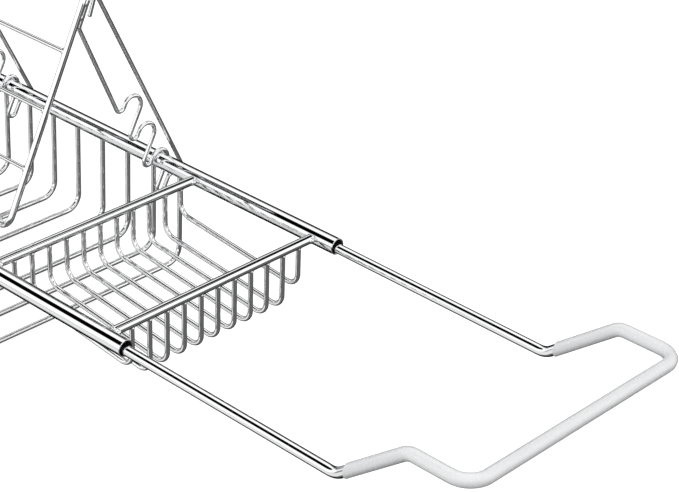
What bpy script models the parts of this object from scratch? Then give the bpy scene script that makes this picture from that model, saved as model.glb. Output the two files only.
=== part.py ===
"""Extending wire caddy that rests across a bath or sink: two chromed tubes carry a deep centre
basket and two side trays, two U-shaped arms telescope out of the tubes, and a wire reading rack
hooks over both tubes. Metres, +Z up. X runs along the tubes, Y from front to back. The origin is
on the ground under the middle of the object."""

from math import acos, asin, atan2, ceil, cos, pi, sin, tan

import bpy
from mathutils import Vector

# Main frame
TUBE_SPACING = 0.160  # between the two tube axes
TUBE_LENGTH = 0.4321
TUBE_DIAMETER = 0.010
TUBE_WALL = 0.0007
CROSSBAR_DIAMETER = 0.0057
CROSSBAR_RISE = 0.001  # crossbar axis above the tube axes
WELD_GAP = 0.0003  # left between solids that are welded on the real object

# Side trays
TRAY_LENGTH = 0.0991  # between the two crossbars of a tray
TRAY_SETBACK = 0.0162  # from the tube end to the outer crossbar
TRAY_WIRES = 11
TRAY_MARGIN = 0.0168  # from a tube axis to the nearest wire, before the shift
TRAY_WIRE_DIAMETER = 0.003
TRAY_SHIFT = 0.0016  # the row of wires sits this far to the back of the middle
TRAY_INNER_DEPTH = 0.0266  # floor below the tube axes at the inner crossbar
TRAY_OUTER_DEPTH = 0.0366
TRAY_EDGE_LIFT = 0.0092  # the first and the last wire hang this much higher
TRAY_BEND = 0.008

# Centre basket
BASKET_WIRES = 8
BASKET_MARGIN = 0.0171  # from an inner crossbar to the nearest wire
BASKET_WIRE_DIAMETER = 0.0032
BASKET_DEPTH = 0.0620  # floor below the tube axes
BASKET_TAPER = 0.0011  # each wall leans in by this much at the floor
BASKET_BEND = 0.010

# Telescoping arms
ROD_DIAMETER = 0.0060
ROD_INSERTION = 0.048  # length of rod left inside the tube
ARM_REACH = 0.1525  # from the tube end to the first bend
STEP_RUN = 0.0449
ARM_DROOP = 0.54  # degrees that a rod, loose in its tube, hangs down outwards
END_RISE = 0.0325  # end bar above the tube axes
END_RUN = 0.0378  # from the top of the step to the end bar
ARM_BEND = 0.013
STEP_BEND = 0.012
CORNER_BEND = 0.012
ROD_LIE = 0.00047  # least gap between a rod, which lies low in its tube, and the bore
SLIP = 0.0003  # between a rod and its sleeve
SLEEVE_WALL = 0.0004
SLEEVE_START = 0.009  # from the first bend to the mouth of the sleeve

# Reading rack
RACK_WIDTH = 0.145  # between the side members
RACK_SHIFT = -0.00725  # the rack can stand anywhere along the tubes
RACK_BAR_DIAMETER = 0.004
RACK_WIRE_DIAMETER = 0.0026
RACK_SLOPE = 2.035  # rise of the panel for each metre that it runs back
RACK_FOOT_Y = -0.0377
RACK_FOOT_Z = -0.0039  # bottom rail relative to the tube axes
RUNG_SPACING_Z = 0.0321
RUNG_BAYS = 4
RACK_CORNER = 0.007
NOTCHES = 3
NOTCH_PITCH_Y = 0.0105
NOTCH_PITCH_Z = 0.0214
NOTCH_LEAN = 28.5  # degrees from the vertical, the legs of every notch
NOTCH_SLIP = 0.0003
NOTCH_SETBACK = 0.0024  # straight length between a notch and the valley before it
LEG_TOP_Z = 0.120  # end of the leg wire beside the side member
LEG_LEAVES_Z = 0.1043  # where the leg wire leaves the side member
LEG_FOOT_REACH = 0.0201  # the strut's foot behind the back tube axis
LEG_FOOT_DEPTH = 0.0128
LEG_BEND = 0.003
CROWN_Z = 0.1229  # the strut's sharp bend
CROWN_GAP = 0.0079  # behind the side member
TAIL_LENGTH = 0.0140
TAIL_SLOPE = 0.37
HOOK_INSET = 0.007  # front hooks inside the side members
HOOK_TAIL = 0.009
HOOK_TIP = 0.0045

tube_radius = TUBE_DIAMETER / 2
rod_radius = ROD_DIAMETER / 2
rack_wire_radius = RACK_WIRE_DIAMETER / 2
rack_bar_radius = RACK_BAR_DIAMETER / 2
notch_radius = tube_radius + rack_wire_radius + NOTCH_SLIP
notch_lean = NOTCH_LEAN * pi / 180
tray_outer_x = TUBE_LENGTH / 2 - TRAY_SETBACK
tray_inner_x = tray_outer_x - TRAY_LENGTH
rod_z = ROD_LIE + rod_radius - (tube_radius - TUBE_WALL)
tube_y = TUBE_SPACING / 2
axis_z = BASKET_DEPTH + BASKET_WIRE_DIAMETER / 2


def clear_scene():
    for obj in list(bpy.data.objects):
        bpy.data.objects.remove(obj, do_unlink=True)


def new_collection(name):
    collection = bpy.data.collections.new(name)
    bpy.context.scene.collection.children.link(collection)
    return collection


def new_material(name, colour, metallic, roughness):
    material = bpy.data.materials.new(name)
    material.use_nodes = True
    shader = material.node_tree.nodes["Principled BSDF"]
    shader.inputs["Base Color"].default_value = (*colour, 1)
    shader.inputs["Metallic"].default_value = metallic
    shader.inputs["Roughness"].default_value = roughness
    material.diffuse_color = (*colour, 1)
    return material


def arc(centre, radius, start, end, across, up, steps):
    """Points on an arc from one angle to another, in the plane of two unit vectors."""
    angles = [start + (end - start) * i / steps for i in range(steps + 1)]
    return [centre + radius * (across * cos(a) + up * sin(a)) for a in angles]


def rounded(corners, radii, degrees_per_step=22.5):
    """A path through corners, each turned with its own radius; the two ends stay sharp."""
    points = [Vector(corners[0])]
    for before, corner, after, radius in zip(corners, corners[1:], corners[2:], radii):
        corner = Vector(corner)
        towards = (Vector(before) - corner).normalized()
        away = (Vector(after) - corner).normalized()
        half = acos(max(-1.0, min(1.0, towards.dot(away)))) / 2
        middle = corner + (towards + away).normalized() * radius / sin(half)
        turn = pi - 2 * half
        steps = max(2, ceil(turn * 180 / pi / degrees_per_step))
        first = corner + towards * radius / tan(half) - middle
        last = corner + away * radius / tan(half) - middle
        across = first.normalized()
        up = (last - across * last.dot(across)).normalized()
        points += arc(middle, radius, 0, turn, across, up, steps)
    points.append(Vector(corners[-1]))
    return points


def make_curve(name, points, diameter, material, collection, parent, sides, closed=False):
    """A wire along the points, which are relative to the parent. Its diameter is across its flats."""
    curve = bpy.data.curves.new(name, "CURVE")
    curve.dimensions = "3D"
    curve.twist_mode = "Z_UP"
    curve.bevel_depth = diameter / 2 / cos(pi / sides)
    curve.bevel_resolution = (sides - 4) // 2
    curve.use_fill_caps = not closed
    spline = curve.splines.new("POLY")
    spline.points.add(len(points) - 1)
    for target, point in zip(spline.points, points):
        target.co = (*point, 1)
        target.tilt = pi / sides
    spline.use_cyclic_u = closed
    spline.use_smooth = True
    curve.materials.append(material)
    obj = bpy.data.objects.new(name, curve)
    obj.parent = parent
    collection.objects.link(obj)
    return obj


def make_pipe(name, points, diameter, wall, material, collection, parent, sides):
    """A wire's outline with a bore: the curve has no caps and gets its wall inwards."""
    obj = make_curve(name, points, diameter, material, collection, parent, sides)
    obj.data.use_fill_caps = False
    solidify = obj.modifiers.new("Wall", "SOLIDIFY")
    solidify.thickness = wall
    solidify.offset = -1
    solidify.use_even_offset = True
    return obj


def make_empty(name, location, collection):
    empty = bpy.data.objects.new(name, None)
    empty.empty_display_size = 0.03
    empty.location = location
    collection.objects.link(empty)
    return empty


def side_name(sign):
    return "right" if sign > 0 else "left"


def end_name(sign):
    return "back" if sign > 0 else "front"


def build_tubes(frame, materials, collection):
    for end in (-1, 1):
        points = [(-TUBE_LENGTH / 2, end * tube_y, 0), (TUBE_LENGTH / 2, end * tube_y, 0)]
        make_pipe(f"{end_name(end)}_tube", points, TUBE_DIAMETER, TUBE_WALL,
                  materials["chrome"], collection, frame, 32)


def build_crossbars(frame, materials, collection):
    half_length = tube_y - tube_radius - WELD_GAP
    for side in (-1, 1):
        for place, x in (("inner", tray_inner_x), ("outer", tray_outer_x)):
            points = [(side * x, -half_length, CROSSBAR_RISE), (side * x, half_length, CROSSBAR_RISE)]
            make_curve(f"{side_name(side)}_{place}_crossbar", points, CROSSBAR_DIAMETER,
                       materials["chrome"], collection, frame, 12)


def build_trays(frame, materials, collection):
    """U-shaped wires along X, hung under the two crossbars of each side."""
    top = CROSSBAR_RISE - CROSSBAR_DIAMETER / 2 - WELD_GAP
    pitch = (TUBE_SPACING - 2 * TRAY_MARGIN) / (TRAY_WIRES - 1)
    for side in (-1, 1):
        for index in range(TRAY_WIRES):
            y = (index - (TRAY_WIRES - 1) / 2) * pitch + TRAY_SHIFT
            lift = TRAY_EDGE_LIFT if index in (0, TRAY_WIRES - 1) else 0
            corners = [
                (side * tray_inner_x, y, top),
                (side * tray_inner_x, y, lift - TRAY_INNER_DEPTH),
                (side * tray_outer_x, y, lift - TRAY_OUTER_DEPTH),
                (side * tray_outer_x, y, top),
            ]
            make_curve(f"{side_name(side)}_tray_wire_{index + 1:02d}",
                       rounded(corners, [TRAY_BEND] * 2), TRAY_WIRE_DIAMETER,
                       materials["chrome"], collection, frame, 8)


def build_basket(frame, materials, collection):
    """U-shaped wires along Y, hung under the two tubes."""
    top = -tube_radius - WELD_GAP
    pitch = 2 * (tray_inner_x - BASKET_MARGIN) / (BASKET_WIRES - 1)
    for index in range(BASKET_WIRES):
        x = (index - (BASKET_WIRES - 1) / 2) * pitch
        floor_y = tube_y - BASKET_TAPER
        corners = [(x, -tube_y, top), (x, -floor_y, -BASKET_DEPTH),
                   (x, floor_y, -BASKET_DEPTH), (x, tube_y, top)]
        make_curve(f"basket_wire_{index + 1}", rounded(corners, [BASKET_BEND] * 2),
                   BASKET_WIRE_DIAMETER, materials["chrome"], collection, frame, 8)


def arm_corners(side):
    """The rod's centre line from the back tube round to the front tube, from the tube mouths."""
    reach_top = ARM_REACH + STEP_RUN
    fall = tan(ARM_DROOP * pi / 180)
    half = [(-ROD_INSERTION, tube_y, rod_z + fall * ROD_INSERTION), (ARM_REACH, tube_y, rod_z - fall * ARM_REACH),
            (reach_top, tube_y, END_RISE), (reach_top + END_RUN, tube_y, END_RISE)]
    path = half + [(x, -y, z) for x, y, z in reversed(half)]
    return [Vector((side * x, y, z)) for x, y, z in path]


def build_arm(side, axis, materials, collection):
    corners = arm_corners(side)
    bends = [ARM_BEND, STEP_BEND, CORNER_BEND, CORNER_BEND, STEP_BEND, ARM_BEND]
    name = side_name(side)
    make_curve(f"{name}_arm_rod", rounded(corners, bends), ROD_DIAMETER,
               materials["chrome"], collection, axis, 12)
    covered = corners[1:-1]
    covered[0] = covered[0] + (covered[1] - covered[0]).normalized() * SLEEVE_START
    covered[-1] = covered[-1] + (covered[-2] - covered[-1]).normalized() * SLEEVE_START
    make_pipe(f"{name}_grip_sleeve", rounded(covered, bends[1:-1]),
              ROD_DIAMETER + 2 * (SLIP + SLEEVE_WALL), SLEEVE_WALL,
              materials["white vinyl"], collection, axis, 12)


def panel_y(z):
    return RACK_FOOT_Y + (z - RACK_FOOT_Z) / RACK_SLOPE


def build_rack_panel(rack, materials, collection):
    half = RACK_WIDTH / 2
    top_z = RACK_FOOT_Z + RUNG_BAYS * RUNG_SPACING_Z
    foot, head = (RACK_FOOT_Y, RACK_FOOT_Z), (panel_y(top_z), top_z)
    middle_bottom = (0, *foot)
    corners = [middle_bottom, (half, *foot), (half, *head), (-half, *head), (-half, *foot), middle_bottom]
    make_curve("rack_frame", rounded(corners, [RACK_CORNER] * 4)[:-1], RACK_BAR_DIAMETER,
               materials["chrome"], collection, rack, 10, closed=True)
    rung_end = half - rack_bar_radius - WELD_GAP
    for bay in range(1, RUNG_BAYS):
        z = RACK_FOOT_Z + bay * RUNG_SPACING_Z
        make_curve(f"rack_rung_{bay}", [(-rung_end, panel_y(z), z), (rung_end, panel_y(z), z)],
                   RACK_WIRE_DIAMETER, materials["chrome"], collection, rack, 8)


def leg_profile():
    """One leg in its own plane, as (y, z) from its top end down through the notches and back up."""
    down = Vector((0, -sin(notch_lean), -cos(notch_lean)))  # along the legs of a notch
    back = Vector((0, cos(notch_lean), -sin(notch_lean)))
    seat = Vector((0, tube_y, 0))
    pitch = Vector((0, NOTCH_PITCH_Y, -NOTCH_PITCH_Z))
    valley_radius = (pitch.dot(back) - 2 * notch_radius) / 2
    valley = seat - back * (notch_radius + valley_radius) + down * NOTCH_SETBACK

    stand_off = (rack_bar_radius + rack_wire_radius + WELD_GAP) * (1 + RACK_SLOPE**-2) ** 0.5
    first_valley = valley - (NOTCHES - 1) * pitch
    bend = Vector((0, panel_y(LEG_LEAVES_Z) + stand_off, LEG_LEAVES_Z))
    to_valley = first_valley - bend
    turn = -asin(valley_radius / to_valley.length)
    slant = (to_valley * cos(turn) + Vector((0, -to_valley.z, to_valley.y)) * sin(turn)).normalized()
    outward = Vector((0, -slant.z, slant.y))  # from the straight towards the valley's centre
    straight = first_valley - outward * valley_radius
    top = Vector((0, panel_y(LEG_TOP_Z) + stand_off, LEG_TOP_Z))
    points = rounded([top, bend, straight], [LEG_BEND])[:-1]

    start = atan2(-outward.z, -outward.y)
    for notch in range(NOTCHES):
        seat_here = seat - (NOTCHES - 1 - notch) * pitch
        valley_here = valley - (NOTCHES - 1 - notch) * pitch
        points += turn_about(valley_here, valley_radius, start, atan2(back.z, back.y), 1, 36)
        points += turn_about(seat_here, notch_radius, atan2(-back.z, -back.y), atan2(back.z, back.y), -1)
        start = atan2(-back.z, -back.y)
    last = valley + pitch
    points += turn_about(last, valley_radius, start, atan2(back.z, back.y), 1, 36)
    rise = last + back * valley_radius
    level = (-LEG_FOOT_DEPTH - rise.z) / -down.z
    corner = rise - down * level
    foot = Vector((0, tube_y + LEG_FOOT_REACH, -LEG_FOOT_DEPTH))
    crown = Vector((0, panel_y(CROWN_Z) + CROWN_GAP, CROWN_Z))
    tail_end = crown - Vector((0, TAIL_SLOPE, 1)).normalized() * TAIL_LENGTH
    points += rounded([rise, corner, foot, crown, tail_end], [LEG_BEND, LEG_BEND, 0.6 * LEG_BEND])[1:]
    return points


def turn_about(centre, radius, start, end, direction, degrees_per_step=24):
    """An arc in the leg's plane; direction 1 turns anticlockwise seen along -X."""
    while direction * (end - start) < 0:
        end += direction * 2 * pi
    steps = max(3, ceil(abs(end - start) * 180 / pi / degrees_per_step))
    return arc(centre, radius, start, end, Vector((0, 1, 0)), Vector((0, 0, 1)), steps)


def build_rack_legs(rack, materials, collection):
    profile = leg_profile()
    for side in (-1, 1):
        x = side * RACK_WIDTH / 2
        make_curve(f"{side_name(side)}_rack_leg", [(x, p.y, p.z) for p in profile],
                   RACK_WIRE_DIAMETER, materials["chrome"], collection, rack, 8)


def hook_profile():
    """A wire that lies on the panel's bottom rail, runs forward and hooks over the front tube."""
    level = RACK_FOOT_Z + rack_bar_radius + rack_wire_radius + WELD_GAP
    behind = notch_radius - tube_y
    run = rounded([(0, RACK_FOOT_Y + HOOK_TAIL, level), (0, behind, level), (0, behind, level + LEG_BEND)],
                  [0.8 * LEG_BEND])[:-1]
    over = turn_about(Vector((0, -tube_y, 0)), notch_radius, atan2(run[-1].z, notch_radius), pi - notch_lean, 1)
    tip = over[-1] + Vector((0, -sin(notch_lean), -cos(notch_lean))) * HOOK_TIP
    return run + over[1:] + [tip]


def build_front_hooks(rack, materials, collection):
    profile = hook_profile()
    for side in (-1, 1):
        x = side * (RACK_WIDTH / 2 - HOOK_INSET)
        make_curve(f"{side_name(side)}_front_hook", [(x, p.y, p.z) for p in profile],
                   RACK_WIRE_DIAMETER, materials["chrome"], collection, rack, 8)


def main():
    clear_scene()
    collection = new_collection("extending_wire_caddy")
    materials = {
        "chrome": new_material("chrome", (0.80, 0.81, 0.83), 1.0, 0.06),
        "white vinyl": new_material("white vinyl", (0.90, 0.91, 0.92), 0.0, 0.32),
    }
    back_edge = max(point.y for point in leg_profile()) + rack_wire_radius
    front_edge = min(point.y for point in hook_profile()) - rack_wire_radius * cos(notch_lean)
    shift_y = -(front_edge + back_edge) / 2
    frame = make_empty("frame_axis", (0, shift_y, axis_z), collection)
    rack = make_empty("reading_rack_axis", (RACK_SHIFT, shift_y, axis_z), collection)
    build_tubes(frame, materials, collection)
    build_crossbars(frame, materials, collection)
    build_trays(frame, materials, collection)
    build_basket(frame, materials, collection)
    for side in (-1, 1):
        axis = make_empty(f"{side_name(side)}_arm_axis", (side * TUBE_LENGTH / 2, shift_y, axis_z), collection)
        build_arm(side, axis, materials, collection)
    build_rack_panel(rack, materials, collection)
    build_rack_legs(rack, materials, collection)
    build_front_hooks(rack, materials, collection)


main()
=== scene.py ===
# Looks of the extending wire caddy: chromed wire and tube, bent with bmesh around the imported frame.
from math import acos, asin, atan2, ceil, cos, pi, radians, sin, tan

import bmesh
import bpy
from mathutils import Matrix, Vector


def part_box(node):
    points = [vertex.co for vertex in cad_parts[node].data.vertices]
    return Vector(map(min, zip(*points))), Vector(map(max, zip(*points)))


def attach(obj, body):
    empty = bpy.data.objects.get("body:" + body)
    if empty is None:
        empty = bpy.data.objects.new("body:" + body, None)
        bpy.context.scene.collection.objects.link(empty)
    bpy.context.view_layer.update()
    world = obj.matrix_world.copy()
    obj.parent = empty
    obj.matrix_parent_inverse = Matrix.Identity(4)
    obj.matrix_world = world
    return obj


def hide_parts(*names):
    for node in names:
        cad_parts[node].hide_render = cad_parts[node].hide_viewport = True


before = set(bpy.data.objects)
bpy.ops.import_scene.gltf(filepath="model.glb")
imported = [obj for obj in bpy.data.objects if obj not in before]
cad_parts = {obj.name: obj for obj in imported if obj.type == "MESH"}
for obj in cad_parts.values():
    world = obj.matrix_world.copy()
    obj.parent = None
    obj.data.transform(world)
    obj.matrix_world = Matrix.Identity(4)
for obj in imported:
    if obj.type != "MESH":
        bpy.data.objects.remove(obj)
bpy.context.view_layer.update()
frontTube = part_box("front_tube")
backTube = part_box("back_tube")
middle = (frontTube[0] + backTube[1]) / 2
mainAxis = Vector((0, middle.y, middle.z))  # midway between the tubes, at the height of their axes
along = Vector((1, 0, 0))  # the direction of the tubes
up = Vector((0, 0, 1))
print("frame loaded:", len(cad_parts), "nodes")


# camera

camera = {
    "place": (0.94467, -0.71228, 0.65869),
    "turn": 42.73,  # degrees round to the left from looking along Y
    "down": 29.0,  # degrees below the horizon
    "roll": 2.0,
    "lens": 113.99,
    "sensor": 36,
    "near": 0.05,
    "far": 50,
}


def placeCamera():
    data = bpy.data.cameras.new("studioCamera")
    data.lens = camera["lens"]
    data.sensor_width = camera["sensor"]
    data.clip_start = camera["near"]
    data.clip_end = camera["far"]
    obj = bpy.data.objects.new("studioCamera", data)
    swing = Matrix.Rotation(radians(camera["turn"]), 4, "Z")
    tilt = Matrix.Rotation(radians(90 - camera["down"]), 4, "X")
    roll = Matrix.Rotation(radians(camera["roll"]), 4, "Z")
    obj.matrix_world = Matrix.Translation(camera["place"]) @ swing @ tilt @ roll
    bpy.context.scene.collection.objects.link(obj)
    bpy.context.scene.camera = obj


# node helpers

def addNode(tree, kind, **sockets):
    node = tree.nodes.new(kind)
    for name, value in sockets.items():
        node.inputs[name].default_value = value
    return node


def ramp(tree, value, stops):
    # stops are positions with a grey level or a colour each
    node = tree.nodes.new("ShaderNodeValToRGB")
    for element, (position, shade) in zip(node.color_ramp.elements, stops):
        element.position = position
        element.color = (*shade, 1) if isinstance(shade, tuple) else (shade, shade, shade, 1)
    tree.links.new(value, node.inputs[0])
    return node.outputs[0]


def facing(tree, spot, towards):
    # 1 where a ray goes in the direction towards, 0 across it
    dot = tree.nodes.new("ShaderNodeVectorMath")
    dot.operation = "DOT_PRODUCT"
    dot.inputs[1].default_value = Vector(towards).normalized()
    tree.links.new(spot.outputs["Generated"], dot.inputs[0])
    return dot.outputs["Value"]


def fade(tree, value, start, full, low, high):
    node = tree.nodes.new("ShaderNodeMapRange")
    node.interpolation_type = "SMOOTHSTEP"
    for key, number in (("From Min", start), ("From Max", full), ("To Min", low), ("To Max", high)):
        node.inputs[key].default_value = number
    tree.links.new(value, node.inputs["Value"])
    return node.outputs["Result"]


def combine(tree, operation, first, second):
    node = tree.nodes.new("ShaderNodeMath")
    node.operation = operation
    tree.links.new(first, node.inputs[0])
    if isinstance(second, float):
        node.inputs[1].default_value = second
    else:
        tree.links.new(second, node.inputs[1])
    return node.outputs[0]


# studio: a white tent with dark gaps, a soft lamp and a pale floor

studio = {
    "tent": 1.18,  # brightness of the white tent all round
    "below": 0.11,  # share of it that comes up from under the horizon
    "horizon": (-0.16, -0.02),  # heights of a ray between which the lower half changes to the upper
    # gaps whose reflections draw the streaks: direction, where each starts, where it is full, light left
    "gaps": (
        ((-0.594, -0.37, 0.714), 0.93, 0.965, 0.003),
        ((-0.43, -0.40, 0.81), 0.875, 0.945, 0.008),
        ((-0.71, -0.31, 0.63), 0.94, 0.97, 0.02),
        ((-0.06, 0.64, 0.766), 0.94, 0.97, 0.01),
        ((-0.60, 0.655, -0.46), 0.34, 0.70, 0.006),
        ((0.94, -0.34, 0.0), 0.93, 0.965, 0.01),
    ),
    # low white panel in front: direction, where it starts, where it is full, light added
    "panel": ((-0.48, -0.72, -0.50), 0.85, 0.96, 0.62),
}
seam = {  # dark seam under the roof, left open towards one side
    "height": 0.71, "half": 0.03, "soft": 0.075, "depth": 0.95,
    "open": (-0.83, 0.56, 0.0), "openFrom": 0.15, "openFull": 0.45,
}
softbox = {"place": (0.7, -0.9, 1.5), "size": 1.5, "power": 6.5}
floor = {"size": 60.0, "drop": 0.0005, "glow": 0.85, "paper": (0.44, 0.46), "grain": 3.0}


def lightStudio():
    world = bpy.data.worlds.new("whiteTent")
    bpy.context.scene.world = world
    world.use_nodes = True
    tree = world.node_tree
    back = tree.nodes["Background"]
    back.inputs["Color"].default_value = (1, 1, 1, 1)
    spot = tree.nodes.new("ShaderNodeTexCoord")
    ways = tree.nodes.new("ShaderNodeSeparateXYZ")
    tree.links.new(spot.outputs["Generated"], ways.inputs[0])
    height = ways.outputs["Z"]
    level = fade(tree, height, *studio["horizon"], studio["below"], 1.0)
    for towards, start, full, left in studio["gaps"]:
        gap = fade(tree, facing(tree, spot, towards), start, full, 1.0, left)
        level = combine(tree, "MULTIPLY", level, gap)
    off = combine(tree, "ABSOLUTE", combine(tree, "SUBTRACT", height, seam["height"]), 0.0)
    band = fade(tree, off, seam["half"], seam["soft"], seam["depth"], 0.0)
    closed = fade(tree, facing(tree, spot, seam["open"]), seam["openFrom"], seam["openFull"], 1.0, 0.0)
    band = combine(tree, "MULTIPLY", band, closed)
    level = combine(tree, "MULTIPLY", level, fade(tree, band, 0.0, 1.0, 1.0, 0.0))
    towards, start, full, added = studio["panel"]
    level = combine(tree, "ADD", level, fade(tree, facing(tree, spot, towards), start, full, 0.0, added))
    level = combine(tree, "MULTIPLY", level, studio["tent"])
    tree.links.new(level, back.inputs["Strength"])


def hangSoftbox():
    data = bpy.data.lights.new("softbox", "AREA")
    data.size = softbox["size"]
    data.energy = softbox["power"]
    obj = bpy.data.objects.new("softbox", data)
    obj.location = softbox["place"]
    obj.rotation_euler = (-obj.location).to_track_quat("-Z", "Y").to_euler()
    obj.visible_glossy = False  # it lifts the vinyl and leaves the mirror finish alone
    bpy.context.scene.collection.objects.link(obj)


def layFloor():
    bm = bmesh.new()
    bmesh.ops.create_grid(bm, x_segments=1, y_segments=1, size=floor["size"] / 2)
    mesh = bpy.data.meshes.new("studioFloor")
    bm.to_mesh(mesh)
    bm.free()
    obj = bpy.data.objects.new("studioFloor", mesh)
    obj.location.z = -floor["drop"]
    material = bpy.data.materials.new("paleFloor")
    material.use_nodes = True
    tree = material.node_tree
    tree.nodes.clear()
    grain = addNode(tree, "ShaderNodeTexNoise", Scale=floor["grain"], Detail=2.0)
    darker, lighter = floor["paper"]
    paper = ramp(tree, grain.outputs["Fac"], [(0.3, darker), (0.7, lighter)])
    matt = tree.nodes.new("ShaderNodeBsdfDiffuse")
    glow = addNode(tree, "ShaderNodeEmission", Color=(1, 1, 1, 1), Strength=floor["glow"])
    both = tree.nodes.new("ShaderNodeAddShader")
    out = tree.nodes.new("ShaderNodeOutputMaterial")
    tree.links.new(paper, matt.inputs["Color"])
    tree.links.new(matt.outputs[0], both.inputs[0])
    tree.links.new(glow.outputs[0], both.inputs[1])
    tree.links.new(both.outputs[0], out.inputs["Surface"])
    obj.visible_glossy = False  # the metal mirrors the tent only
    obj.visible_diffuse = False
    mesh.materials.append(material)
    bpy.context.scene.collection.objects.link(obj)


# finishes

brightChrome = {
    "tint": (0.93, 0.935, 0.94), "smudge": (0.89, 0.895, 0.905), "smudgeScale": 24,
    "polish": 0.025, "haze": 0.06, "hazeScale": 95,
    "ripple": 0.00003, "rippleScale": 70, "rippleStrength": 0.15,
}
# the bore's near-black colours are painted shade for the inside of the tube; the spots only vary that dark
# tone at random
paintedShadeBore = {"tint": (0.012, 0.012, 0.013), "scale": (0.05, 0.047, 0.044), "spots": 300}
whiteVinyl = {
    "tint": (0.925, 0.93, 0.935), "shade": (0.905, 0.91, 0.918), "cloudScale": 14,
    "gloss": 0.25, "matt": 0.29, "skinScale": 900, "skinDepth": 0.000004, "skinStrength": 0.1,
}


def newMaterial(name):
    material = bpy.data.materials.new(name)
    material.use_nodes = True
    tree = material.node_tree
    coords = tree.nodes.new("ShaderNodeTexCoord")
    return material, tree, tree.nodes["Principled BSDF"], coords.outputs["Object"]


def noiseOn(tree, coords, scale, detail, rough=0.5):
    noise = addNode(tree, "ShaderNodeTexNoise", Scale=scale, Detail=detail, Roughness=rough)
    tree.links.new(coords, noise.inputs["Vector"])
    return noise.outputs["Fac"]


def roughen(tree, shader, height, strength, distance):
    bump = addNode(tree, "ShaderNodeBump", Strength=strength, Distance=distance)
    tree.links.new(height, bump.inputs["Height"])
    tree.links.new(bump.outputs[0], shader.inputs["Normal"])


def makeChrome():
    look = brightChrome
    material, tree, shader, coords = newMaterial("brightChrome")
    shader.inputs["Metallic"].default_value = 1
    smudges = noiseOn(tree, coords, look["smudgeScale"], 3)
    tints = ramp(tree, smudges, [(0.42, look["smudge"]), (0.6, look["tint"])])
    tree.links.new(tints, shader.inputs["Base Color"])
    marks = noiseOn(tree, coords, look["hazeScale"], 5, 0.62)
    haze = ramp(tree, marks, [(0.45, look["polish"]), (0.78, look["haze"])])
    tree.links.new(haze, shader.inputs["Roughness"])
    drawn = noiseOn(tree, coords, look["rippleScale"], 2)
    roughen(tree, shader, drawn, look["rippleStrength"], look["ripple"])
    return material


def makeBore():
    look = paintedShadeBore
    material, tree, shader, coords = newMaterial("paintedShadeBore")
    shader.inputs["Metallic"].default_value = 0.4
    shader.inputs["Roughness"].default_value = 0.75
    # painted shade: a near-black base colour inside the tube, with random spots of a slightly lighter dark
    # tone
    tints = ramp(tree, noiseOn(tree, coords, look["spots"], 4), [(0.4, look["tint"]), (0.75, look["scale"])])
    tree.links.new(tints, shader.inputs["Base Color"])
    return material


def makeVinyl():
    look = whiteVinyl
    material, tree, shader, coords = newMaterial("whiteVinyl")
    shader.inputs["IOR"].default_value = 1.53
    shader.inputs["Subsurface Weight"].default_value = 0.12
    shader.inputs["Subsurface Radius"].default_value = (0.0012, 0.0011, 0.001)
    shader.inputs["Subsurface Scale"].default_value = 1.0
    shader.inputs["Coat Weight"].default_value = 0.25
    shader.inputs["Coat Roughness"].default_value = 0.12
    clouds = noiseOn(tree, coords, look["cloudScale"], 2)
    tints = ramp(tree, clouds, [(0.3, look["shade"]), (0.75, look["tint"])])
    tree.links.new(tints, shader.inputs["Base Color"])
    skin = noiseOn(tree, coords, look["skinScale"], 2)
    gloss = ramp(tree, skin, [(0.4, look["gloss"]), (0.7, look["matt"])])
    tree.links.new(gloss, shader.inputs["Roughness"])
    roughen(tree, shader, skin, look["skinStrength"], look["skinDepth"])
    return material


placeCamera()
lightStudio()
hangSoftbox()
layFloor()
finishes = {"chrome": makeChrome(), "bore": makeBore(), "white_vinyl": makeVinyl()}
bpy.context.scene.view_settings.view_transform = "Standard"
print("camera, light and finishes ready")


# wire bending: a ring of points is pushed along straights and spun round bends

wire = {
    "sides": 14,
    "stepAngle": 9.0,  # degrees between the rings of a bend
    "hold": 0.25,  # distance from each end to a ring that keeps the shading straight, in radii
    "tip": 0.5,  # height of a rounded tip, in radii
    "tipRings": ((0.5, 0.866), (0.366, 0.577)),  # how far on each ring goes, and how much it shrinks
}
joinWithin = 1e-6


def straightTo(point):
    return ("straight", Vector(point))


def bendAbout(centre, axis, angle):
    return ("bend", Vector(centre), Vector(axis).normalized(), angle)


def corneredRoute(corners, radii):
    corners = [Vector(corner) for corner in corners]
    moves = []
    for before, corner, after, radius in zip(corners, corners[1:], corners[2:], radii):
        towards = (before - corner).normalized()
        away = (after - corner).normalized()
        half = acos(max(-1.0, min(1.0, towards.dot(away)))) / 2
        centre = corner + (towards + away).normalized() * radius / sin(half)
        moves.append(straightTo(corner + towards * radius / tan(half)))
        moves.append(bendAbout(centre, towards.cross(away), -(pi - 2 * half)))
    moves.append(straightTo(corners[-1]))
    return corners[0], moves


def turned(direction):
    return direction.to_track_quat("Z", "Y").to_matrix().to_4x4()


def vertsOf(ring):
    return list(dict.fromkeys(vert for edge in ring for vert in edge.verts))


def pushRing(bm, ring, offset):
    made = bmesh.ops.extrude_edge_only(bm, edges=ring)["geom"]
    verts = [item for item in made if isinstance(item, bmesh.types.BMVert)]
    edges = [item for item in made if isinstance(item, bmesh.types.BMEdge)]
    bmesh.ops.translate(bm, verts=verts, vec=offset)
    return [edge for edge in edges if all(vert in verts for vert in edge.verts)]


def closeTip(bm, ring, centre, outward, height):
    for share, size in wire["tipRings"]:
        step = outward * height * share
        centre = centre + step
        ring = pushRing(bm, ring, step)
        bmesh.ops.scale(bm, verts=vertsOf(ring), vec=(size, size, size), space=Matrix.Translation(-centre))
    bmesh.ops.contextual_create(bm, geom=ring)


def firstHeading(start, moves):
    for move in moves:
        if move[0] == "bend":
            return (move[2].cross(start - move[1]) * (1 if move[3] > 0 else -1)).normalized()
        if (move[1] - start).length > joinWithin:
            return (move[1] - start).normalized()


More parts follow.
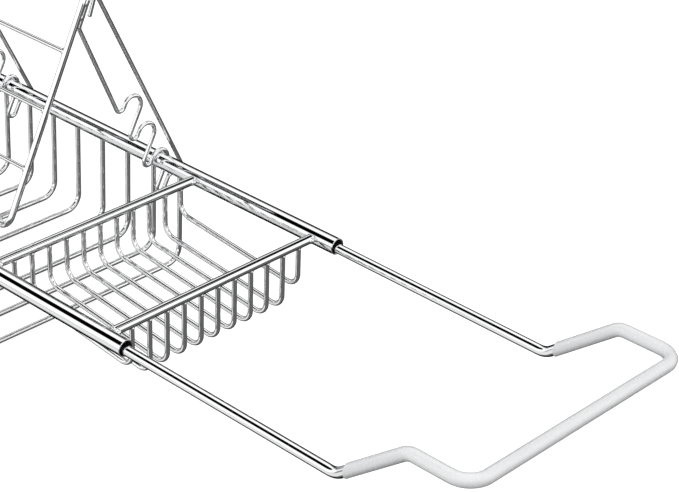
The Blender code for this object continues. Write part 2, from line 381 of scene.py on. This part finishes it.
def bendWire(bm, start, moves, radius, sides=wire["sides"], stepAngle=wire["stepAngle"],
             tip=0.0, closed=True):
    # returns the rings at both ends; a closed wire gets rounded tips there
    start = Vector(start)
    entry = firstHeading(start, moves)
    before = set(bm.edges)
    matrix = Matrix.Translation(start) @ turned(entry)
    bmesh.ops.create_circle(bm, segments=sides, radius=radius, matrix=matrix)
    first = [edge for edge in bm.edges if edge not in before]
    heading = entry
    hold = radius * wire["hold"]
    place = start + heading * hold
    ring = pushRing(bm, first, heading * hold)
    for number, move in enumerate(moves):
        if move[0] == "straight":
            if number == len(moves) - 1:
                ring = pushRing(bm, ring, move[1] - heading * hold - place)
                place = move[1] - heading * hold
            if (move[1] - place).length > joinWithin:
                ring = pushRing(bm, ring, move[1] - place)
                place = move[1]
        else:
            _, centre, axis, angle = move
            count = max(3, ceil(abs(angle) * 180 / pi / stepAngle))
            geom = vertsOf(ring) + ring
            made = bmesh.ops.spin(bm, geom=geom, cent=centre, axis=axis, angle=angle, steps=count)
            ring = [item for item in made["geom_last"] if isinstance(item, bmesh.types.BMEdge)]
            place = centre + Matrix.Rotation(angle, 3, axis) @ (place - centre)
            heading = Matrix.Rotation(angle, 3, axis) @ heading
    if closed:
        height = tip or radius * wire["tip"]
        closeTip(bm, first, start, -entry, height)
        closeTip(bm, ring, place, heading, height)
    return first, ring


def weldBead(bm, place, across, size, squash):
    # a small bead where two wires were fused, long in the direction across
    made = bmesh.ops.create_uvsphere(bm, u_segments=12, v_segments=8, radius=size)
    bmesh.ops.scale(bm, verts=made["verts"], vec=(squash, squash, 1))
    bmesh.ops.rotate(bm, verts=made["verts"], matrix=turned(Vector(across)).to_3x3())
    bmesh.ops.translate(bm, verts=made["verts"], vec=place)


def finishPiece(bm, name, node, body, origin, slotName="chrome", materials=None):
    bmesh.ops.translate(bm, verts=bm.verts, vec=origin)
    bmesh.ops.remove_doubles(bm, verts=bm.verts, dist=joinWithin)
    bmesh.ops.recalc_face_normals(bm, faces=bm.faces)
    for face in bm.faces:
        face.smooth = True
    mesh = bpy.data.meshes.new(name)
    bm.to_mesh(mesh)
    bm.free()
    for material in materials or [finishes[slotName]]:
        mesh.materials.append(material)
    obj = bpy.data.objects.new(name, mesh)
    bpy.context.scene.collection.objects.link(obj)
    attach(obj, body)
    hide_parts(node)


def sideName(side):
    return "right" if side > 0 else "left"


# the two long tubes, open at both ends

tube = {
    "spacing": 0.160, "length": 0.4321, "radius": 0.005, "wall": 0.0007, "sides": 48,
    "lip": 0.00022, "cut": 0.3,  # size of the rounding at a rim, and the share that its corner takes off
}
tubeY = tube["spacing"] / 2
tubeEnd = tube["length"] / 2


def buildTubes():
    radius, lip, cut = tube["radius"], tube["lip"], tube["cut"]
    inner = radius - tube["wall"]
    run = tube["length"] - 4 * lip
    # steps along the tube with the radius reached: round a rim, along the outside, round, back along the bore
    profile = [
        (lip * cut, radius - lip * cut), (lip * (1 - cut), radius), (lip, radius),
        (run, radius), (lip, radius),
        (lip * (1 - cut), radius - lip * cut), (lip * cut, radius - lip), (0, inner + lip),
        (-lip, inner), (-lip, inner), (-run, inner), (-lip, inner), (-lip, inner + lip),
    ]
    for end, place in ((-1, "front"), (1, "back")):
        axis = Vector((0, end * tubeY, 0))
        centre = axis - along * tubeEnd
        size = radius - lip
        bm = bmesh.new()
        matrix = Matrix.Translation(centre) @ turned(along)
        bmesh.ops.create_circle(bm, segments=tube["sides"], radius=size, matrix=matrix)
        first = list(bm.edges)
        ring = first
        for step, nextSize in profile:
            centre = centre + along * step
            ring = pushRing(bm, ring, along * step)
            grow = nextSize / size
            bmesh.ops.scale(bm, verts=vertsOf(ring), vec=(1, grow, grow), space=Matrix.Translation(-centre))
            size = nextSize
        bmesh.ops.bridge_loops(bm, edges=first + ring)
        for face in bm.faces:
            spoke = face.calc_center_median() - axis
            face.material_index = int(Vector((0, spoke.y, spoke.z)).length < inner + lip * cut)
        finishPiece(bm, f"{place}TubeShell", f"{place}_tube", "caddy_frame", mainAxis,
                    materials=[finishes["chrome"], finishes["bore"]])


# crossbars that tie the tubes, welded at both ends

crossbar = {"radius": 0.00285, "rise": 0.001, "gap": 0.0003, "sides": 20, "tip": 0.0006}
crossbarBead = {"size": 0.0040, "squash": 0.62, "in": 0.0017, "drop": 0.0002}
tray = {
    "length": 0.0991, "setback": 0.0162, "wires": 11, "margin": 0.0168, "radius": 0.0015, "shift": 0.0016,
    "innerDepth": 0.0266, "outerDepth": 0.0366, "edgeLift": 0.0092, "bend": 0.008,
}
trayBead = {"size": 0.0021, "squash": 0.62, "up": 0.0001}
outerX = tubeEnd - tray["setback"]
innerX = outerX - tray["length"]


def buildCrossbars():
    half = tubeY - tube["radius"] - crossbar["gap"]
    rise = crossbar["rise"]
    for side in (-1, 1):
        for place, x in (("inner", side * innerX), ("outer", side * outerX)):
            bm = bmesh.new()
            bendWire(bm, (x, -half, rise), [straightTo((x, half, rise))], crossbar["radius"],
                     sides=crossbar["sides"], tip=crossbar["tip"])
            for end in (-1, 1):
                spot = Vector((x, end * (half - crossbarBead["in"]), rise - crossbarBead["drop"]))
                weldBead(bm, spot, (1, 0, 0), crossbarBead["size"], crossbarBead["squash"])
            finishPiece(bm, f"{sideName(side)}{place.title()}Crossbar", f"{sideName(side)}_{place}_crossbar",
                        "caddy_frame", mainAxis)


# side trays: eleven U wires hung under two crossbars, the outermost two less deep

def buildTrays():
    top = crossbar["rise"] - crossbar["radius"] - crossbar["gap"]
    pitch = (tube["spacing"] - 2 * tray["margin"]) / (tray["wires"] - 1)
    for side in (-1, 1):
        for index in range(tray["wires"]):
            y = (index - (tray["wires"] - 1) / 2) * pitch + tray["shift"]
            lift = tray["edgeLift"] if index in (0, tray["wires"] - 1) else 0
            corners = [
                (side * innerX, y, top), (side * innerX, y, lift - tray["innerDepth"]),
                (side * outerX, y, lift - tray["outerDepth"]), (side * outerX, y, top),
            ]
            start, moves = corneredRoute(corners, [tray["bend"]] * 2)
            bm = bmesh.new()
            bendWire(bm, start, moves, tray["radius"])
            for x in (side * innerX, side * outerX):
                spot = Vector((x, y, top + trayBead["up"]))
                weldBead(bm, spot, (0, 1, 0), trayBead["size"], trayBead["squash"])
            number = f"{index + 1:02d}"
            finishPiece(bm, f"{sideName(side)}TrayWire{number}", f"{sideName(side)}_tray_wire_{number}",
                        "caddy_frame", mainAxis)


# centre basket: eight deep U wires hung under the tubes

basket = {"wires": 8, "margin": 0.0171, "radius": 0.0016, "depth": 0.0620, "taper": 0.0011, "bend": 0.010}
basketBead = {"size": 0.0023, "squash": 0.6, "up": 0.0002}


def buildBasket():
    top = -tube["radius"] - crossbar["gap"]
    pitch = 2 * (innerX - basket["margin"]) / (basket["wires"] - 1)
    floorY = tubeY - basket["taper"]
    for index in range(basket["wires"]):
        x = (index - (basket["wires"] - 1) / 2) * pitch
        corners = [
            (x, -tubeY, top), (x, -floorY, -basket["depth"]),
            (x, floorY, -basket["depth"]), (x, tubeY, top),
        ]
        start, moves = corneredRoute(corners, [basket["bend"]] * 2)
        bm = bmesh.new()
        bendWire(bm, start, moves, basket["radius"])
        for end in (-1, 1):
            spot = Vector((x, end * tubeY, top + basketBead["up"]))
            weldBead(bm, spot, (1, 0, 0), basketBead["size"], basketBead["squash"])
        finishPiece(bm, f"basketWire{index + 1}", f"basket_wire_{index + 1}", "caddy_frame", mainAxis)


# telescoping arms with their vinyl sleeves

arm = {
    "radius": 0.003, "insertion": 0.048, "reach": 0.1525, "stepRun": 0.0449, "droop": 0.54, "endRise": 0.0325,
    "endRun": 0.0378, "armBend": 0.013, "stepBend": 0.012, "cornerBend": 0.012, "lie": 0.00047,
    "sides": 24, "stepAngle": 6, "tip": 0.0008,
}
sleeve = {
    "slip": 0.0003, "wall": 0.0004, "start": 0.009, "lip": 0.00012,
    "slant": 0.6,  # how far a mouth leans over, per unit of height
    "slantZone": 0.002,
    "rimAngle": 1.2,  # edges sharper than this, in radians, are rounded
}


def armCorners(side):
    low = arm["lie"] + arm["radius"] - (tube["radius"] - tube["wall"])
    fall = tan(radians(arm["droop"]))
    stepEnd = arm["reach"] + arm["stepRun"]
    half = [
        (-arm["insertion"], tubeY, low + fall * arm["insertion"]),
        (arm["reach"], tubeY, low - fall * arm["reach"]),
        (stepEnd, tubeY, arm["endRise"]),
        (stepEnd + arm["endRun"], tubeY, arm["endRise"]),
    ]
    path = half + [(x, -y, z) for x, y, z in reversed(half)]
    return [Vector((side * x, y, z)) for x, y, z in path]


def slantMouth(bm, mouth, inner):
    # a mouth is cut off at a slant, so that the sleeve is longer on its lower side
    inward = (inner - mouth).normalized()
    upward = (up - inward * inward.z).normalized()
    zone = sleeve["slantZone"]
    verts = [vert for vert in bm.verts
             if abs((vert.co - mouth).dot(inward)) < zone and (vert.co - mouth).length < 3 * zone]
    shear = Matrix.Identity(3)
    for row in range(3):
        for column in range(3):
            shear[row][column] += sleeve["slant"] * inward[row] * upward[column]
    matrix = Matrix.Translation(mouth) @ shear.to_4x4() @ Matrix.Translation(-mouth)
    bmesh.ops.transform(bm, matrix=matrix, verts=verts)


def buildArms():
    half = [arm["armBend"], arm["stepBend"], arm["cornerBend"]]
    bends = half + half[::-1]
    make = {"sides": arm["sides"], "stepAngle": arm["stepAngle"]}
    for side in (-1, 1):
        name = sideName(side)
        origin = mainAxis + along * side * tubeEnd
        corners = armCorners(side)
        start, moves = corneredRoute(corners, bends)
        bm = bmesh.new()
        bendWire(bm, start, moves, arm["radius"], tip=arm["tip"], **make)
        finishPiece(bm, f"{name}ArmRod", f"{name}_arm_rod", f"{name}_arm", origin)

        covered = corners[1:-1]
        covered[0] = covered[0] + (covered[1] - covered[0]).normalized() * sleeve["start"]
        covered[-1] = covered[-1] + (covered[-2] - covered[-1]).normalized() * sleeve["start"]
        start, moves = corneredRoute(covered, bends[1:-1])
        inner = arm["radius"] + sleeve["slip"]
        bm = bmesh.new()
        outside = bendWire(bm, start, moves, inner + sleeve["wall"], closed=False, **make)
        inside = bendWire(bm, start, moves, inner, closed=False, **make)
        for outerRim, innerRim in zip(outside, inside):
            # known fault: this joins the rims crosswise, so the inner wall faces outwards
            bmesh.ops.bridge_loops(bm, edges=outerRim + innerRim)
        bmesh.ops.recalc_face_normals(bm, faces=bm.faces)
        slantMouth(bm, covered[0], covered[1])
        slantMouth(bm, covered[-1], covered[-2])
        rims = [edge for edge in bm.edges if edge.calc_face_angle(0) > sleeve["rimAngle"]]
        bmesh.ops.bevel(bm, geom=rims, offset=sleeve["lip"], segments=2, profile=0.5,
                        affect="EDGES", material=-1)
        finishPiece(bm, f"{name}GripSleeve", f"{name}_grip_sleeve", f"{name}_arm", origin, "white_vinyl")


# reading rack: a sloping panel on two notched legs, hooked over the front tube

rack = {
    "width": 0.145, "shift": -0.00725, "barRadius": 0.002, "barSides": 18, "wireRadius": 0.0013,
    "slope": 2.035, "footY": -0.0377, "footZ": -0.0039, "rungSpacing": 0.0321, "bays": 4,
    "corner": 0.007, "seamWithin": 1e-5,
}
rungBead = {"size": 0.0024, "squash": 0.75, "out": 0.0004}
leg = {
    "notches": 3, "pitchY": 0.0105, "pitchZ": 0.0214, "lean": 28.5, "slip": 0.0003, "setback": 0.0024,
    "topZ": 0.120, "leavesZ": 0.1043, "footReach": 0.0201, "footDepth": 0.0128, "bend": 0.003,
    "crownZ": 0.1229, "crownGap": 0.0079, "crownBend": 0.0018, "tail": 0.0140, "tailSlope": 0.37,
    "stepAngle": 12,
}
legBead = {"size": 0.0024, "squash": 0.5, "drops": (0.0035, 0.012), "out": 0.0002}
hook = {"inset": 0.007, "tail": 0.009, "tip": 0.0045, "bend": 0.0024}
hookBead = {"size": 0.0022, "squash": 0.6}
rackAxis = mainAxis + along * rack["shift"]
notchRadius = tube["radius"] + rack["wireRadius"] + leg["slip"]
legLean = radians(leg["lean"])
legDown = Vector((0, -sin(legLean), -cos(legLean)))


def panelY(z):
    return rack["footY"] + (z - rack["footZ"]) / rack["slope"]


def arcMove(x, centre, radius, start, end, direction):
    # an arc in a plane across the tubes, from one angle to another
    while direction * (end - start) < 0:
        end += direction * 2 * pi
    centre = Vector((x, centre.y, centre.z))
    begin = centre + Vector((0, cos(start), sin(start))) * radius
    finish = centre + Vector((0, cos(end), sin(end))) * radius
    return [straightTo(begin), bendAbout(centre, along, end - start)], finish


def buildPanel():
    half = rack["width"] / 2
    topZ = rack["footZ"] + rack["bays"] * rack["rungSpacing"]
    foot, head = (rack["footY"], rack["footZ"]), (panelY(topZ), topZ)
    corners = [(0, *foot), (half, *foot), (half, *head), (-half, *head), (-half, *foot), (0, *foot)]
    start, moves = corneredRoute(corners, [rack["corner"]] * 4)
    bm = bmesh.new()
    bendWire(bm, start, moves, rack["barRadius"], sides=rack["barSides"], closed=False)
    bmesh.ops.remove_doubles(bm, verts=bm.verts, dist=rack["seamWithin"])  # joins the loop to itself
    finishPiece(bm, "rackBorder", "rack_frame", "reading_rack", rackAxis)
    reach = half - rack["barRadius"] - crossbar["gap"]
    for bay in range(1, rack["bays"]):
        z = rack["footZ"] + bay * rack["rungSpacing"]
        y = panelY(z)
        bm = bmesh.new()
        bendWire(bm, (-reach, y, z), [straightTo((reach, y, z))], rack["wireRadius"])
        for end in (-1, 1):
            spot = Vector((end * (reach + rungBead["out"]), y, z))
            weldBead(bm, spot, (0, 1, rack["slope"]), rungBead["size"], rungBead["squash"])
        finishPiece(bm, f"rackRung{bay}", f"rack_rung_{bay}", "reading_rack", rackAxis)


def legRoute(x):
    back = Vector((0, cos(legLean), -sin(legLean)))
    inwards, outwards = atan2(back.z, back.y), atan2(-back.z, -back.y)
    seat = Vector((0, tubeY, 0))
    pitch = Vector((0, leg["pitchY"], -leg["pitchZ"]))
    valleyRadius = (pitch.dot(back) - 2 * notchRadius) / 2
    valley = seat - back * (notchRadius + valleyRadius) + legDown * leg["setback"]
    standOff = (rack["barRadius"] + rack["wireRadius"] + crossbar["gap"]) * (1 + rack["slope"] ** -2) ** 0.5
    firstValley = valley - (leg["notches"] - 1) * pitch
    corner = Vector((0, panelY(leg["leavesZ"]) + standOff, leg["leavesZ"]))
    toValley = firstValley - corner
    turn = -asin(valleyRadius / toValley.length)
    slant = (toValley * cos(turn) + Vector((0, -toValley.z, toValley.y)) * sin(turn)).normalized()
    outward = Vector((0, -slant.z, slant.y))
    straight = firstValley - outward * valleyRadius
    top = Vector((0, panelY(leg["topZ"]) + standOff, leg["topZ"]))
    shift = along * x
    start, moves = corneredRoute([top + shift, corner + shift, straight + shift], [leg["bend"]])
    moves = moves[:-1]
    begin = atan2(-outward.z, -outward.y)
    for notch in range(leg["notches"]):
        offset = (leg["notches"] - 1 - notch) * pitch
        made, _ = arcMove(x, valley - offset, valleyRadius, begin, inwards, 1)
        moves += made
        made, _ = arcMove(x, seat - offset, notchRadius, outwards, inwards, -1)
        moves += made
        begin = outwards
    made, rise = arcMove(x, valley + pitch, valleyRadius, begin, inwards, 1)
    moves += made
    knee = rise + legDown * ((leg["footDepth"] + rise.z) / -legDown.z)
    foot = Vector((x, tubeY + leg["footReach"], -leg["footDepth"]))
    crown = Vector((x, panelY(leg["crownZ"]) + leg["crownGap"], leg["crownZ"]))
    tailEnd = crown - Vector((0, leg["tailSlope"], 1)).normalized() * leg["tail"]
    _, rest = corneredRoute([rise, knee, foot, crown, tailEnd], [leg["bend"], leg["bend"], leg["crownBend"]])
    return start, moves + rest, top + shift


def buildLegs():
    slope = Vector((0, 1, rack["slope"])).normalized()
    behind = Vector((0, -slope.z, slope.y)) * (rack["wireRadius"] + legBead["out"])
    for side in (-1, 1):
        start, moves, top = legRoute(side * rack["width"] / 2)
        bm = bmesh.new()
        bendWire(bm, start, moves, rack["wireRadius"], stepAngle=leg["stepAngle"])
        for drop in legBead["drops"]:
            weldBead(bm, top - slope * drop + behind, slope, legBead["size"], legBead["squash"])
        finishPiece(bm, f"{sideName(side)}RackLeg", f"{sideName(side)}_rack_leg", "reading_rack", rackAxis)


def buildHooks():
    level = rack["footZ"] + rack["barRadius"] + rack["wireRadius"] + crossbar["gap"]
    behind = notchRadius - tubeY
    bend = hook["bend"]
    for side in (-1, 1):
        x = side * (rack["width"] / 2 - hook["inset"])
        corners = [(x, rack["footY"] + hook["tail"], level), (x, behind, level), (x, behind, level + bend)]
        start, moves = corneredRoute(corners, [bend])
        seat = Vector((0, -tubeY, 0))
        made, end = arcMove(x, seat, notchRadius, atan2(level + bend, notchRadius), pi - legLean, 1)
        moves = moves[:-1] + made + [straightTo(end + legDown * hook["tip"])]
        bm = bmesh.new()
        bendWire(bm, start, moves, rack["wireRadius"], stepAngle=leg["stepAngle"])
        spot = Vector((x, rack["footY"], level - rack["wireRadius"]))
        weldBead(bm, spot, (1, 0, 0), hookBead["size"], hookBead["squash"])
        finishPiece(bm, f"{sideName(side)}FrontHook", f"{sideName(side)}_front_hook",
                    "reading_rack", rackAxis)


buildTubes()
buildCrossbars()
print("tubes and crossbars built")
buildTrays()
buildBasket()
print("trays and basket built")
buildArms()
print("arms and sleeves built")
buildPanel()
buildLegs()
buildHooks()
print("reading rack built")
